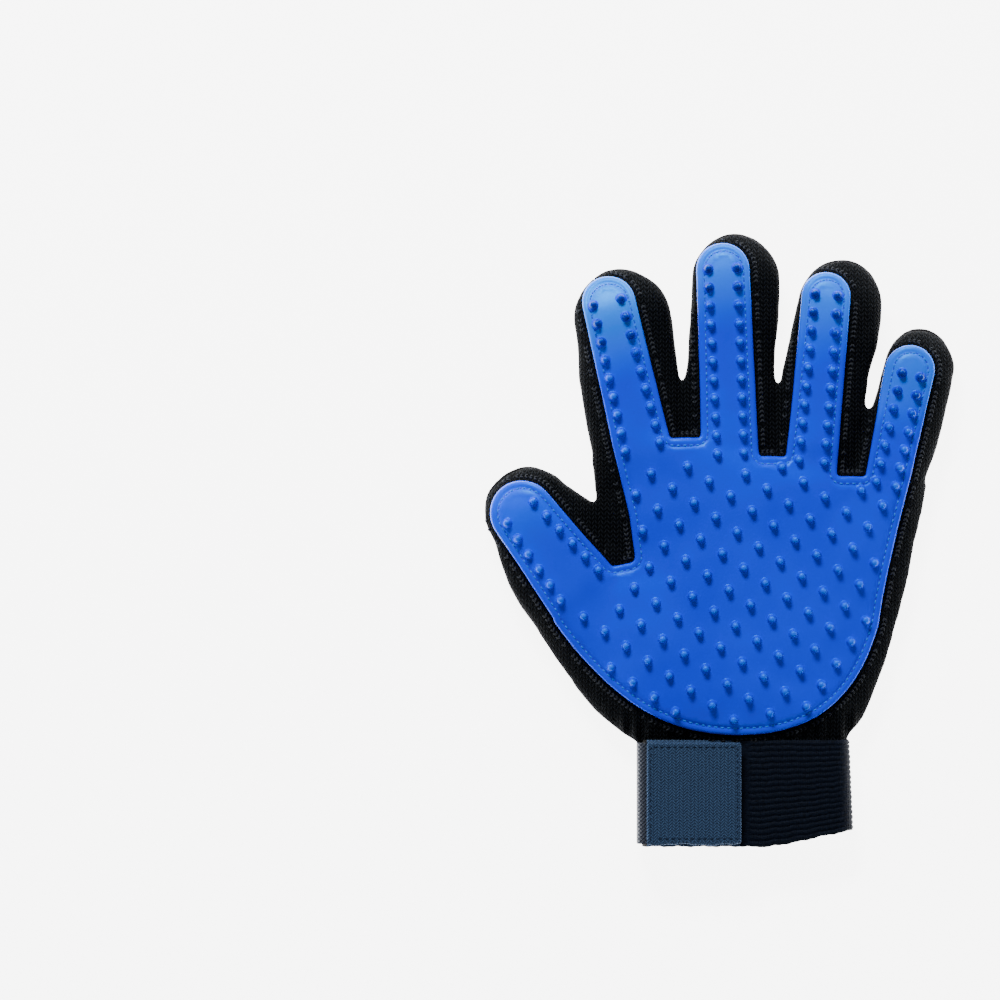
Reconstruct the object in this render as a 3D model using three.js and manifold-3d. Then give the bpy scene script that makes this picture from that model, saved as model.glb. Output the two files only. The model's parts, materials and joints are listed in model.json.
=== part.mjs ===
// A left-hand pet grooming glove, lying on its back with the rubber palm up.
// Millimetres. Fingers point to +Y, the thumb to -X, the palm to +Z.
// Every fabric wall is its own flat or curved sheet, so the glove is hollow from the wrist to the tips.
import * as THREE from "three";
import { mergeVertices } from "three/addons/utils/BufferGeometryUtils.js";
import Module from "manifold-3d";

const wasm = await Module();
wasm.setup();

// ---- Driving dimensions ----
const GAP = 0.3; // between touching pieces
const WEB_GAP = 0.5; // from a web's seam to the finger on either side
const BEND_GAP = 0.4; // across each bending line
const BACK = 1.4; // thickness of the mesh back
const WALL = 1.3; // thickness of a side gusset
const LINER = 1.2; // thickness of the knit under the rubber
const RUBBER = 2.0; // thickness of the rubber panel
const PANEL_TOP = 16.7; // height of the rubber's upper face
const PANEL_BOTTOM = PANEL_TOP - RUBBER;
const LINER_BOTTOM = PANEL_BOTTOM - GAP - LINER;
const WALL_BOTTOM = BACK + GAP;
const WALL_HEIGHT = LINER_BOTTOM - GAP - WALL_BOTTOM;

const NUB = { height: 2.8, foot: 1.45, top: 0.8, sides: 6, sink: 0.4 };
const NUB_PITCH = 6.95; // along a finger
const LATTICE = { start: [-23.5, 127.1], across: [8.05, -5.53], down: [-5.58, -8.05], reach: 15 };
const LATTICE_MARGIN = 3.9; // nearest nub centre to the panel's edge
const NUB_SPACING = 6; // nearest lattice nub to a finger's own nub

const PALM_BOTTOM = 40.6; // where the hand ends and the cuff begins
const CUFF = { left: -30.5, right: 48.6, top: 40.3, hemRise: 6.4 };
const CUFF_BACK = 1.6;
const CUFF_FRONT = { bottom: 10.9, thickness: 1.6 };
const STRAP = { thickness: 1.2, low: 1.2, high: 39.5, overhang: 1.6, foldTop: 12.2 };
const TAB = { right: 7.9, hookInset: 4, stack: [1.0, 1.2, 1.2] };

// A web is the seam between two neighbours: it runs from its root on the palm up to the crotch.
const WEBS = {
  thumb: { root: [-40.5, 107.0], crotch: [-46.3, 127.6] },
  index: { root: [-13.2, 154.3], crotch: [-13.9, 172.8] },
  middle: { root: [19.4, 146.8], crotch: [21.8, 172.8] },
  ring: { root: [49.3, 139.6], crotch: [55.7, 164.5] },
};

// at: the bending line's middle. lean: degrees to the left of +Y. Half widths run from root to tip.
// sleeve: the black finger's round end, in the finger's own frame, x to the right and y to the tip.
const FINGERS = {
  thumb: {
    at: [-50.8, 96.0], lean: 39.0, rows: 6, baseRows: 3,
    panel: { left: [15.8, 12.2], right: [11.7, 12.2], length: 38.2 }, rowHalf: [9.2, 6.3],
    sleeve: { x: 2.6, y: 36.1, r: 16.2 }, leftRoot: -22.3, rightWeb: "thumb",
  },
  index: {
    at: [-30.0, 154.0], lean: 13.75, rows: 8, baseRows: 4,
    panel: { left: [10.9, 10.1], right: [10.9, 10.1], length: 52.3 }, rowHalf: [6.5, 5.3],
    sleeve: { x: 3.85, y: 44.8, r: 18.4 }, leftRoot: -19.2, rightWeb: "index",
  },
  middle: {
    at: [3.6, 151.4], lean: 2.3, rows: 10, baseRows: 5,
    panel: { left: [9.9, 10.1], right: [9.9, 10.1], length: 66.2 }, rowHalf: [5.0, 5.3],
    sleeve: { x: 4.57, y: 62.3, r: 16.4 }, leftWeb: "index", rightWeb: "middle",
  },
  ring: {
    at: [34.5, 148.6], lean: -5.25, rows: 9, baseRows: 4,
    panel: { left: [9.4, 9.2], right: [9.4, 9.2], length: 59.2 }, rowHalf: [4.7, 4.2],
    sleeve: { x: 5.3, y: 56.1, r: 16.1 }, leftWeb: "middle", rightWeb: "ring",
  },
  little: {
    at: [62.9, 140.1], lean: -13.2, rows: 6, baseRows: 3,
    panel: { left: [8.9, 9.0], right: [8.9, 9.0], length: 40.9 }, rowHalf: [3.7, 3.5],
    sleeve: { x: 2.1, y: 41.3, r: 13.6 }, leftWeb: "ring", rightRoot: 14.4,
  },
};
const FINGER_ORDER = ["index", "middle", "ring", "little"];

// ---- Materials ----
const material = (color, roughness) => new THREE.MeshStandardMaterial({ color, roughness, metalness: 0 });
const RUBBER_BLUE = material(0x0a55e0, 0.45);
const KNIT_BLACK = material(0x131418, 0.9);
const MESH_BLACK = material(0x1b1d22, 0.85);
const ELASTIC_BLACK = material(0x101218, 0.8);
const LOOP_NAVY = material(0x26364f, 1.0);
const WEBBING_NAVY = material(0x1d2738, 0.8);
const HOOK_BLACK = material(0x16181d, 0.6);

// ---- Plane geometry ----
const vec = (x, y) => new THREE.Vector2(x, y);

// The place of a finger-frame point in the glove's frame.
function toGlove(finger, point) {
  const turned = point.clone().rotateAround(vec(0, 0), THREE.MathUtils.degToRad(finger.lean));
  return turned.add(vec(...finger.at));
}

// The place of a glove point in the finger's frame.
function toFinger(finger, [x, y]) {
  const moved = vec(x, y).sub(vec(...finger.at));
  return moved.rotateAround(vec(0, 0), -THREE.MathUtils.degToRad(finger.lean));
}

// The point of the line a-b at height y.
function crossingAt(a, b, y) {
  return a.clone().lerp(b, (y - a.y) / (b.y - a.y));
}

// A path moved sideways by a distance: to its right for a positive one.
function offsetPath(path, distance) {
  const normals = path.slice(1).map((point, i) => {
    const along = point.clone().sub(path[i]).normalize();
    return vec(along.y, -along.x);
  });
  return path.map((point, i) => {
    const before = normals[Math.max(i - 1, 0)];
    const after = normals[Math.min(i, normals.length - 1)];
    const middle = before.clone().add(after).normalize();
    return point.clone().addScaledVector(middle, distance / middle.dot(after));
  });
}

// Points of a half circle from its left end over the top to its right end, in a finger's frame.
function roundEnd(x, y, r, steps) {
  const points = [];
  for (let i = 0; i <= steps; i += 1) {
    const angle = Math.PI * (1 - i / steps);
    points.push(vec(x + r * Math.cos(angle), y + r * Math.sin(angle)));
  }
  return points;
}

function curvePoints(start, control1, control2, end, steps) {
  const curve = new THREE.CubicBezierCurve(vec(...start), vec(...control1), vec(...control2), vec(...end));
  return curve.getPoints(steps);
}

function distanceToOutline(point, outline) {
  const nearest = outline.map((a, i) => {
    const b = outline[(i + 1) % outline.length];
    const side = b.clone().sub(a);
    const share = THREE.MathUtils.clamp(point.clone().sub(a).dot(side) / side.lengthSq(), 0, 1);
    return point.distanceTo(a.clone().addScaledVector(side, share));
  });
  return Math.min(...nearest);
}

function isInside(point, outline) {
  let inside = false;
  outline.forEach((a, i) => {
    const b = outline[(i + 1) % outline.length];
    const spans = a.y > point.y !== b.y > point.y;
    if (spans && point.x < crossingAt(a, b, point.y).x) inside = !inside;
  });
  return inside;
}

// ---- Solids ----
function plate(outline, bottom, thickness) {
  const options = { depth: thickness, bevelEnabled: false };
  const geometry = new THREE.ExtrudeGeometry(new THREE.Shape(outline), options);
  return geometry.translate(0, 0, bottom);
}

// A wall of sheet that stands on a path, with its thickness to the path's right.
function wall(path) {
  const inner = offsetPath(path, WALL).reverse();
  return plate([...path, ...inner], WALL_BOTTOM, WALL_HEIGHT);
}

function toSolid(geometry) {
  const bare = geometry.clone();
  bare.deleteAttribute("normal");
  bare.deleteAttribute("uv");
  const merged = mergeVertices(bare, 1e-4);
  const vertProperties = new Float32Array(merged.attributes.position.array);
  const triVerts = new Uint32Array(merged.index.array);
  return new wasm.Manifold(new wasm.Mesh({ numProp: 3, vertProperties, triVerts }));
}

function toGeometry(solid) {
  const mesh = solid.getMesh();
  const geometry = new THREE.BufferGeometry();
  geometry.setAttribute("position", new THREE.BufferAttribute(mesh.vertProperties, 3));
  geometry.setIndex(new THREE.BufferAttribute(mesh.triVerts, 1));
  const flat = geometry.toNonIndexed();
  flat.computeVertexNormals();
  return flat;
}

// The rubber plate with its nubs moulded on, each a blunt six-sided cone.
function rubberPanel(outline, nubs) {
  let solid = toSolid(plate(outline, PANEL_BOTTOM, RUBBER));
  const length = NUB.height + NUB.sink;
  nubs.forEach((place) => {
    const cone = new THREE.CylinderGeometry(NUB.top, NUB.foot, length, NUB.sides);
    cone.rotateX(Math.PI / 2);
    cone.translate(place.x, place.y, PANEL_TOP - NUB.sink + length / 2);
    solid = solid.add(toSolid(cone));
  });
  return toGeometry(solid);
}

const glove = new THREE.Group();

function addPiece(parent, name, geometry, look) {
  const mesh = new THREE.Mesh(geometry, look);
  mesh.name = name;
  parent.add(mesh);
}

// ---- Fingers and thumb, each in its own frame with its root on y = 0 ----
const rowPlace = (row) => (row + 0.5) * NUB_PITCH;
const bendPlace = (finger) => finger.baseRows * NUB_PITCH;

// The two nubs of one row: rows spread or close evenly from the root to the tip.
function nubRow(finger, row) {
  const y = rowPlace(row);
  const half = THREE.MathUtils.lerp(...finger.rowHalf, y / finger.panel.length);
  return [vec(-half, y), vec(half, y)];
}

function nubsBetween(finger, first, last) {
  const rows = [];
  for (let row = first; row <= last; row += 1) rows.push(...nubRow(finger, row));
  return rows;
}

// Half of the rubber's width at y: side is -1 for the left edge and 1 for the right.
function panelEdge(finger, side, y) {
  const halves = side < 0 ? finger.panel.left : finger.panel.right;
  return vec(side * THREE.MathUtils.lerp(...halves, y / finger.panel.length), y);
}

// One side of the black sleeve from the root line up to the round end.
function sleeveSide(finger, side) {
  const { x, y, r } = finger.sleeve;
  const end = vec(x + side * r, y);
  const web = WEBS[side < 0 ? finger.leftWeb : finger.rightWeb];
  if (!web) return [vec(side < 0 ? finger.leftRoot : finger.rightRoot, 0), end];
  const inward = vec(-side * WEB_GAP, 0);
  const crotch = toFinger(finger, web.crotch).add(inward);
  const root = crossingAt(toFinger(finger, web.root).add(inward), crotch, 0);
  return [root, crotch, end];
}

// The side's stretch between two heights, as a path upwards.
function sideBetween(side, low, high) {
  const inner = side.filter((point) => point.y > low && point.y < high);
  const placeAt = (y) => {
    const next = side.findIndex((point, i) => i > 0 && point.y >= y);
    return crossingAt(side[next - 1], side[next], y);
  };
  return [placeAt(low), ...inner, placeAt(high)];
}

function baseSegment(group, name, finger) {
  const low = BEND_GAP / 2;
  const high = bendPlace(finger) - BEND_GAP / 2;
  const left = sideBetween(sleeveSide(finger, -1), low, high);
  const right = sideBetween(sleeveSide(finger, 1), low, high);
  const outline = [...left, ...right.slice().reverse()];
  const edges = [[-1, low], [1, low], [1, high], [-1, high]];
  const panel = edges.map(([side, y]) => panelEdge(finger, side, y));
  const nubs = nubsBetween(finger, 0, finger.baseRows - 1);
  addPiece(group, `${name}_base_panel`, rubberPanel(panel, nubs), RUBBER_BLUE);
  addPiece(group, `${name}_base_liner`, plate(outline, LINER_BOTTOM, LINER), KNIT_BLACK);
  addPiece(group, `${name}_base_back`, plate(outline, 0, BACK), MESH_BLACK);
  addPiece(group, `${name}_base_gusset_left`, wall(left), KNIT_BLACK);
  addPiece(group, `${name}_base_gusset_right`, wall(right.reverse()), KNIT_BLACK);
}

function tipSegment(group, name, finger) {
  const low = bendPlace(finger) + BEND_GAP / 2;
  const { x, y, r } = finger.sleeve;
  const left = sideBetween(sleeveSide(finger, -1), low, y).slice(0, -1);
  const right = sideBetween(sleeveSide(finger, 1), low, y).slice(0, -1).reverse();
  const around = [...left, ...roundEnd(x, y, r, 14), ...right];
  const tip = roundEnd(0, finger.panel.length, finger.panel.left[1], 12);
  const panel = [panelEdge(finger, -1, low), ...tip, panelEdge(finger, 1, low)];
  const nubs = nubsBetween(finger, finger.baseRows, finger.rows - 1);
  addPiece(group, `${name}_tip_panel`, rubberPanel(panel.reverse(), nubs), RUBBER_BLUE);
  addPiece(group, `${name}_tip_liner`, plate(around, LINER_BOTTOM, LINER), KNIT_BLACK);
  addPiece(group, `${name}_tip_back`, plate(around, 0, BACK), MESH_BLACK);
  addPiece(group, `${name}_tip_gusset`, wall(around), KNIT_BLACK);
}

function addFinger(name) {
  const finger = FINGERS[name];
  const group = new THREE.Group();
  group.position.set(...finger.at, 0);
  group.rotation.z = THREE.MathUtils.degToRad(finger.lean);
  baseSegment(group, name, finger);
  tipSegment(group, name, finger);
  glove.add(group);
}

// ---- Palm ----
// A finger's root line on the palm's side of the bend, from left to right.
function rootLine(finger) {
  const low = -BEND_GAP / 2;
  const ends = [-1, 1].map((side) => {
    const path = sleeveSide(finger, side);
    return crossingAt(path[0], path[1], low);
  });
  return ends.map((point) => toGlove(finger, point));
}

function panelRootLine(finger) {
  return [-1, 1].map((side) => toGlove(finger, panelEdge(finger, side, -BEND_GAP / 2)));
}

// Below the thumb, from the thumb's root down to the cuff.
const THUMB_HEEL = curvePoints([-68.2, 81.9], [-60.5, 70.5], [-46.5, 48.5], [-34.0, PALM_BOTTOM], 10);
// The little finger's side, from the cuff up to the finger's root.
const LITTLE_HEEL = curvePoints([48.3, PALM_BOTTOM], [60.0, 57.0], [66.0, 81.0], [77.0, 136.8], 10);

function palmOutline() {
  const thumb = rootLine(FINGERS.thumb);
  const webSide = vec(...WEBS.thumb.crotch).add(vec(GAP, 0));
  const webRoot = vec(...WEBS.thumb.root).add(vec(GAP, 0));
  const webFoot = webRoot.clone().lerp(webSide, -0.15);
  const roots = FINGER_ORDER.flatMap((name) => rootLine(FINGERS[name]));
  const heel = THUMB_HEEL.slice().reverse();
  return [...heel, ...thumb.slice(1), webFoot, webSide, ...roots, ...LITTLE_HEEL.slice().reverse()];
}

// The rubber's edge: up the index side, along the slots between the fingers, and round the heel.
function palmPanelOutline() {
  const [thumbLine, indexLine, middleLine, ringLine, littleLine] =
    ["thumb", ...FINGER_ORDER].map((name) => panelRootLine(FINGERS[name]));
  const thumbSlot = [vec(-39.2, 105.4), vec(-32.7, 108.0), vec(-34.6, 124.0)];
  const indexSlot = [vec(-19.6, 154.3), vec(-13.4, 154.3), vec(-13.4, 150.6), vec(-6.8, 150.8)];
  const middleSlot = [vec(13.9, 146.8), vec(24.8, 146.8)];
  const ringSlot = [vec(43.7, 139.6), vec(55.0, 139.6)];
  const littleHeel = curvePoints([59.4, 84.0], [53.2, 61.0], [40.0, 42.5], [7.0, 42.5], 12);
  const thumbHeel = curvePoints([7.0, 42.5], [-21.0, 42.5], [-39.9, 56.1], [-62.6, 85.4], 12);
  return [
    ...thumbLine, ...thumbSlot, ...indexLine, ...indexSlot, ...middleLine, ...middleSlot,
    ...ringLine, ...ringSlot, ...littleLine, ...littleHeel, ...thumbHeel.slice(1),
  ];
}

// The palm's diagonal lattice of nubs, and the last row of each finger's own nubs.
function palmNubs(outline) {
  const rows = FINGER_ORDER.flatMap((name) => {
    const finger = FINGERS[name];
    return nubRow(finger, -1).map((point) => toGlove(finger, point));
  });
  const firstRows = Object.values(FINGERS).flatMap((finger) =>
    nubRow(finger, 0).map((point) => toGlove(finger, point)));
  const taken = [...rows, ...firstRows];
  const lattice = [];
  for (let i = -LATTICE.reach; i <= LATTICE.reach; i += 1) {
    for (let j = -LATTICE.reach; j <= LATTICE.reach; j += 1) {
      const place = vec(...LATTICE.start)
        .addScaledVector(vec(...LATTICE.across), i)
        .addScaledVector(vec(...LATTICE.down), j);
      const clear = taken.every((nub) => nub.distanceTo(place) >= NUB_SPACING);
      const within = isInside(place, outline) && distanceToOutline(place, outline) >= LATTICE_MARGIN;
      if (clear && within) lattice.push(place);
    }
  }
  return [...rows, ...lattice];
}

function addPalm() {
  const outline = palmOutline();
  const panel = palmPanelOutline();
  const webTop = vec(...WEBS.thumb.crotch).add(vec(GAP, 0));
  const webFoot = vec(...WEBS.thumb.root).add(vec(GAP, 0));
  const indexRoot = rootLine(FINGERS.index)[0];
  addPiece(glove, "palm_panel", rubberPanel(panel, palmNubs(panel)), RUBBER_BLUE);
  addPiece(glove, "palm_liner", plate(outline, LINER_BOTTOM, LINER), KNIT_BLACK);
  addPiece(glove, "palm_back", plate(outline, 0, BACK), MESH_BLACK);
  addPiece(glove, "palm_gusset_thumb_side", wall(THUMB_HEEL.slice().reverse()), KNIT_BLACK);
  addPiece(glove, "palm_gusset_web", wall([webFoot, webTop, indexRoot]), KNIT_BLACK);
  addPiece(glove, "palm_gusset_little_side", wall(LITTLE_HEEL.slice().reverse()), KNIT_BLACK);
}

// ---- Cuff and strap ----
const CUFF_CENTRE = (TAB.right + GAP + CUFF.left) / 2;
const FRONT_TOP = CUFF_FRONT.bottom + CUFF_FRONT.thickness;

function box(x0, x1, y0, y1, z0, z1) {
  const geometry = new THREE.BoxGeometry(x1 - x0, y1 - y0, z1 - z0);
  return geometry.translate((x0 + x1) / 2, (y0 + y1) / 2, (z0 + z1) / 2);
}

// The cuff's outline: its lower edge rises towards the little-finger side.
function cuffOutline(left) {
  const { right, top, hemRise } = CUFF;
  const start = Math.max(left, TAB.right + GAP);
  return [vec(left, 0), vec(start, 0), vec(right, hemRise), vec(right, top), vec(left, top)];
}

function addCuff() {
  const { left, right, top, hemRise } = CUFF;
  const { bottom, thickness } = CUFF_FRONT;
  const backTop = STRAP.thickness + GAP + CUFF_BACK;
  const sideBottom = backTop + GAP;
  const frontSplit = TAB.right + GAP;
  const hem = hemRise + GAP;
  const elastic = cuffOutline(frontSplit).filter((point, i, all) => i === 0 || !point.equals(all[i - 1]));
  addPiece(glove, "cuff_back", plate(cuffOutline(left), STRAP.thickness + GAP, CUFF_BACK), MESH_BLACK);
  addPiece(glove, "cuff_side", box(right - WALL, right, hem, top, sideBottom, bottom - GAP), KNIT_BLACK);
  addPiece(glove, "cuff_elastic", plate(elastic, bottom, thickness), ELASTIC_BLACK);
  addPiece(glove, "cuff_loop_panel", box(left, TAB.right, 0, top, bottom, FRONT_TOP), LOOP_NAVY);
}

// The strap crosses the back of the wrist, folds round the thumb side and ends in the tab.
function addStrap() {
  const { thickness, low, high, overhang, foldTop } = STRAP;
  const outer = CUFF.left - overhang;
  const edge = outer + thickness;
  const [hook, webbing, loop] = TAB.stack;
  const hookBottom = FRONT_TOP + GAP;
  const webbingBottom = hookBottom + hook + GAP;
  const loopBottom = webbingBottom + webbing + GAP;
  const tabLeft = CUFF.left + GAP;
  const hookLeft = CUFF_CENTRE - TAB.hookInset;
  addPiece(glove, "strap_band", box(outer, CUFF.right, hemSafe(low), high, 0, thickness), WEBBING_NAVY);
  addPiece(glove, "strap_fold", box(outer, edge, low, high, thickness + GAP, foldTop), WEBBING_NAVY);
  addPiece(glove, "tab_hook_patch",
    box(hookLeft, TAB.right - 1, low + 1, high - 1, hookBottom, hookBottom + hook), HOOK_BLACK);
  addPiece(glove, "tab_webbing",
    box(tabLeft, TAB.right, low, high, webbingBottom, webbingBottom + webbing), WEBBING_NAVY);
  addPiece(glove, "tab_loop_facing",
    box(tabLeft, TAB.right, low, high, loopBottom, loopBottom + loop), LOOP_NAVY);
}

// The band keeps above the cuff's slanted hem.
function hemSafe(low) {
  return Math.max(low, CUFF.hemRise + GAP);
}

addPalm();
["thumb", ...FINGER_ORDER].forEach(addFinger);
addCuff();
addStrap();

// The origin is on the underside, at the centre of the glove's length and width.
const part = new THREE.Group();
const centre = new THREE.Box3().setFromObject(glove, true).getCenter(new THREE.Vector3());
glove.position.set(-centre.x, -centre.y, 0);
part.add(glove);

export default part;
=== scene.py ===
# A left-hand pet grooming glove with a nubbed rubber palm, seen from straight above its palm.
import json
import math

import bmesh
import bpy
import numpy as np
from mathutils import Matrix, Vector, noise
from mathutils.bvhtree import BVHTree
from mathutils.geometry import delaunay_2d_cdt


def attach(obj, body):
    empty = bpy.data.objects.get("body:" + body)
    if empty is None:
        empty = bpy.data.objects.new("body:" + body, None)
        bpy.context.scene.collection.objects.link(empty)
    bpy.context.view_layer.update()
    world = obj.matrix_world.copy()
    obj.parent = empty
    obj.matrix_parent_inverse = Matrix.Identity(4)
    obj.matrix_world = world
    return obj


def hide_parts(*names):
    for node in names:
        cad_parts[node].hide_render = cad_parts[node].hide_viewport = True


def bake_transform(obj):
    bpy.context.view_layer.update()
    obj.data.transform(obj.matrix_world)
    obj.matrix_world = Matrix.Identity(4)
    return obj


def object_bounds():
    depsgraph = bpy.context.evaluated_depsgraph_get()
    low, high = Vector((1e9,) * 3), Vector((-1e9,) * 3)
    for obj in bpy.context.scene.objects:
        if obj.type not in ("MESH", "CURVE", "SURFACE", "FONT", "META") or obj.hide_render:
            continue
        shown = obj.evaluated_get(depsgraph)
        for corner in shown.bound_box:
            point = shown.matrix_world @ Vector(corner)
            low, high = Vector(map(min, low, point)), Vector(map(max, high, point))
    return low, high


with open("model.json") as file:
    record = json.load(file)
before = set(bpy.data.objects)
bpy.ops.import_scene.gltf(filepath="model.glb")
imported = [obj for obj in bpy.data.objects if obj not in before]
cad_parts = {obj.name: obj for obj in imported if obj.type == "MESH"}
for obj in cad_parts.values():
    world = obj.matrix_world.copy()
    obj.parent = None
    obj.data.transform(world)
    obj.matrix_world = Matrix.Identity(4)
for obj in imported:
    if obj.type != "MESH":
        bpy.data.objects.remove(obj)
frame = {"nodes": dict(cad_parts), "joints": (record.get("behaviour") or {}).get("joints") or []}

CAD_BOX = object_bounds()
MM = 0.001
JOINTS = {joint["name"]: joint for joint in frame["joints"]}

# ---- Driving dimensions, in millimetres, in the pattern's own frame: y = 0 is the wrist's hem ----
# Where the pattern has the index finger's knuckle, whose true place is its joint's.
PATTERN_INDEX_ROOT = np.array([-30.0, 154.0])
# Height of the black shell, height of the seam between its knit and its mesh, and the rubber's thickness.
SHELL_TOP, BACK_SEAM, RUBBER = 14.4, 2.8, 1.9
SHELL_MID = SHELL_TOP / 2
# Root and crotch of the seam on the right of each finger but the little one.
WEBS = {
    "thumb": ((-40.5, 107.0), (-46.3, 127.6)),
    "index": ((-13.2, 154.3), (-13.9, 172.8)),
    "middle": ((19.4, 146.8), (21.8, 172.8)),
    "ring": ((49.3, 139.6), (55.7, 164.5)),
}
# Extra gap beside each crotch, and how far past the crotch it starts, rises, ends and fades.
WEB_OPENING = {"thumb": -1.3, "index": 0.35, "middle": 0.5, "ring": 1.15}
OPEN_START, OPEN_RISE, OPEN_END, OPEN_FADE = -1.5, 4.0, 12.0, 16.0
WEB_SLACK = 0.2
# In each finger's own frame. sleeve: x, y and radius of the black finger's round end. end: x, radius and
# y of the rubber's round end. grow: how far the fabric swells on its left, right, tip and free side.
# free: the sleeve's free side at the root, and the rubber's edge there. webs: the seams on either side.
FINGERS = {
    "thumb": dict(sleeve=(2.6, 36.1, 16.2), end=(0.5, 11.8, 38.2), grow=(0.8, 0.9, 0.6, 2.4),
                  free=(-22.3, -15.2), webs=(None, "thumb")),
    "index": dict(sleeve=(3.85, 44.8, 18.4), end=(0.7, 9.7, 52.3), grow=(-0.5, 0.5, 0.4, 1.3),
                  free=(-19.2, -10.7), webs=(None, "index")),
    "middle": dict(sleeve=(4.57, 62.3, 16.4), end=(0.4, 9.6, 66.2), grow=(-0.5, 0.4, 0.4, 0.0),
                   free=(None, None), webs=("index", "middle")),
    "ring": dict(sleeve=(5.3, 56.1, 16.1), end=(0.3, 8.7, 59.2), grow=(-0.6, 0.9, 0.6, 0.0),
                 free=(None, None), webs=("middle", "ring")),
    "little": dict(sleeve=(2.1, 41.3, 13.6), end=(-0.5, 8.8, 40.9), grow=(-0.9, 0.3, 1.6, 1.2),
                   free=(14.4, 8.4), webs=("ring", None)),
}
# How far before a joint the glove is cut into its next piece, and a reach past the joint.
BLEND_BEFORE, BLEND_AFTER = 2.0, 10.0
# Length past its root within which a point can belong to a finger, and its reach beside a free side.
FINGER_REACH, FREE_REACH = 90, 12
PALM_BOTTOM = 40.6
CUFF_LEFT, CUFF_RIGHT, CUFF_TOP, HEM_RISE = -30.5, 48.6, 40.3, 6.4
TAB_RIGHT = 7.9


# ---- Frames ----
def smooth(t):
    t = float(np.clip(t, 0, 1))
    return t * t * (3 - 2 * t)


ORIGIN = np.array(JOINTS["index_knuckle_bend"]["pos_m"][:2]) / MM - PATTERN_INDEX_ROOT


def on_glove(point):
    """A pattern point in the glove's frame, in millimetres."""
    return np.asarray(point, float) + ORIGIN


def plan_vector(xy, z=0.0):
    return Vector((xy[0] * MM, xy[1] * MM, z * MM))


class Finger:
    """A finger's own frame: its root joint, its direction and its second joint's distance."""

    def __init__(self, name, sleeve, end, grow, free, webs):
        words = ("root", "tip") if name == "thumb" else ("knuckle", "middle")
        root, middle = (JOINTS[f"{name}_{word}_bend"] for word in words)
        self.sleeve, self.end, self.grow, self.webs = sleeve, end, grow, webs
        self.free_side, self.rubber_side = free
        self.at = np.array(root["pos_m"][:2]) / MM
        axis = root["axis"]
        self.along = np.array([-axis[1], axis[0]])
        self.across = np.array([self.along[1], -self.along[0]])
        self.bend = float(np.linalg.norm(np.array(middle["pos_m"][:2]) / MM - self.at))
        self.sides = [self.side(0), self.side(1)]

    def to_glove(self, x, y):
        return self.at + self.across * x + self.along * y

    def to_finger(self, point):
        away = np.asarray(point) - self.at
        return np.array([away @ self.across, away @ self.along])

    def side(self, which):
        """The sleeve's left (0) or right (1) side, from its root by way of a crotch to its round end."""
        x, y, radius = self.sleeve
        end = (x + radius * (1 if which else -1), y)
        if self.webs[which] is None:
            return [(self.free_side, 0.0), end]
        root, crotch = (self.to_finger(on_glove(point)) for point in WEBS[self.webs[which]])
        share = -root[1] / (crotch[1] - root[1])
        return [tuple(root + (crotch - root) * share), tuple(crotch), end]

    def edges(self, y):
        """The sleeve's left and right edge at a distance y from the root."""
        x0, y0, radius = self.sleeve
        if y > y0:
            half = math.sqrt(max(radius**2 - (y - y0) ** 2, 0.0))
            return x0 - half, x0 + half
        return tuple(np.interp(y, [p[1] for p in side], [p[0] for p in side]) for side in self.sides)

    def slack(self, which, y):
        """How far the fabric stands inside the sleeve's edge: more beside a crotch, which keeps it open."""
        web, free = self.webs[which], -self.grow[which]
        if web is None:
            return free - self.grow[3] * math.sin(math.pi * np.clip(y / self.sleeve[1], 0, 1))
        past = y - self.sides[which][1][1]
        faded = smooth((past - OPEN_END) / OPEN_FADE)
        opened = smooth((past - OPEN_START) / OPEN_RISE) * (1 - faded)
        return WEB_SLACK + WEB_OPENING[web] * opened + (free - WEB_SLACK) * faded


FINGER = {name: Finger(name, **spec) for name, spec in FINGERS.items()}


def web_frame(web):
    """A web's root and length, in metres at z = 0, and the unit vectors along it and to its right."""
    root, crotch = (plan_vector(on_glove(point)) for point in WEBS[web])
    along = (crotch - root).normalized()
    return root, (crotch - root).length, along, Vector((along.y, -along.x, 0))


WEB_FRAMES = {web: web_frame(web) for web in WEBS}


# ---- Small geometry helpers ----
def bezier(start, control1, control2, end, steps):
    t = np.linspace(0, 1, steps + 1)[:, None]
    a, b, c, d = (np.asarray(p, float) for p in (start, control1, control2, end))
    return (1 - t) ** 3 * a + 3 * (1 - t) ** 2 * t * b + 3 * (1 - t) * t**2 * c + t**3 * d


def superellipse(count, power_top, power_bottom):
    """Unit section: x and z on a rounded box that is flatter below than above."""
    points = []
    for i in range(count):
        angle = 2 * math.pi * i / count
        c, s = math.cos(angle), math.sin(angle)
        power = power_top if s > 0 else power_bottom
        points.append((math.copysign(abs(c) ** (2 / power), c), math.copysign(abs(s) ** (2 / power), s)))
    return points


def circle(count):
    """The cosine and sine of evenly spaced angles."""
    return [(math.cos(2 * math.pi * k / count), math.sin(2 * math.pi * k / count)) for k in range(count)]


def unit(vector):
    return vector / max(np.linalg.norm(vector), 1e-12)


def make_mesh(name, verts, faces):
    mesh = bpy.data.meshes.new(name)
    mesh.from_pydata([tuple(v) for v in verts], [], [tuple(int(i) for i in f) for f in faces])
    mesh.update()
    return mesh


def add_object(name, data):
    obj = bpy.data.objects.new(name, data)
    bpy.context.scene.collection.objects.link(obj)
    return obj


def ring_faces(rings, count, capped=True, turned=False):
    """Quads between closed rings in a row, and a face over each end; turned reverses them."""
    faces = []
    for i in range(rings - 1):
        low, high = i * count, (i + 1) * count
        for j in range(count):
            k = (j + 1) % count
            faces.append([low + j, high + j, high + k, low + k] if turned
                         else [low + j, low + k, high + k, high + j])
    if capped:
        first, last = list(range(count)), list(range((rings - 1) * count, rings * count))
        faces += [first, last[::-1]] if turned else [first[::-1], last]
    return faces


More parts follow.
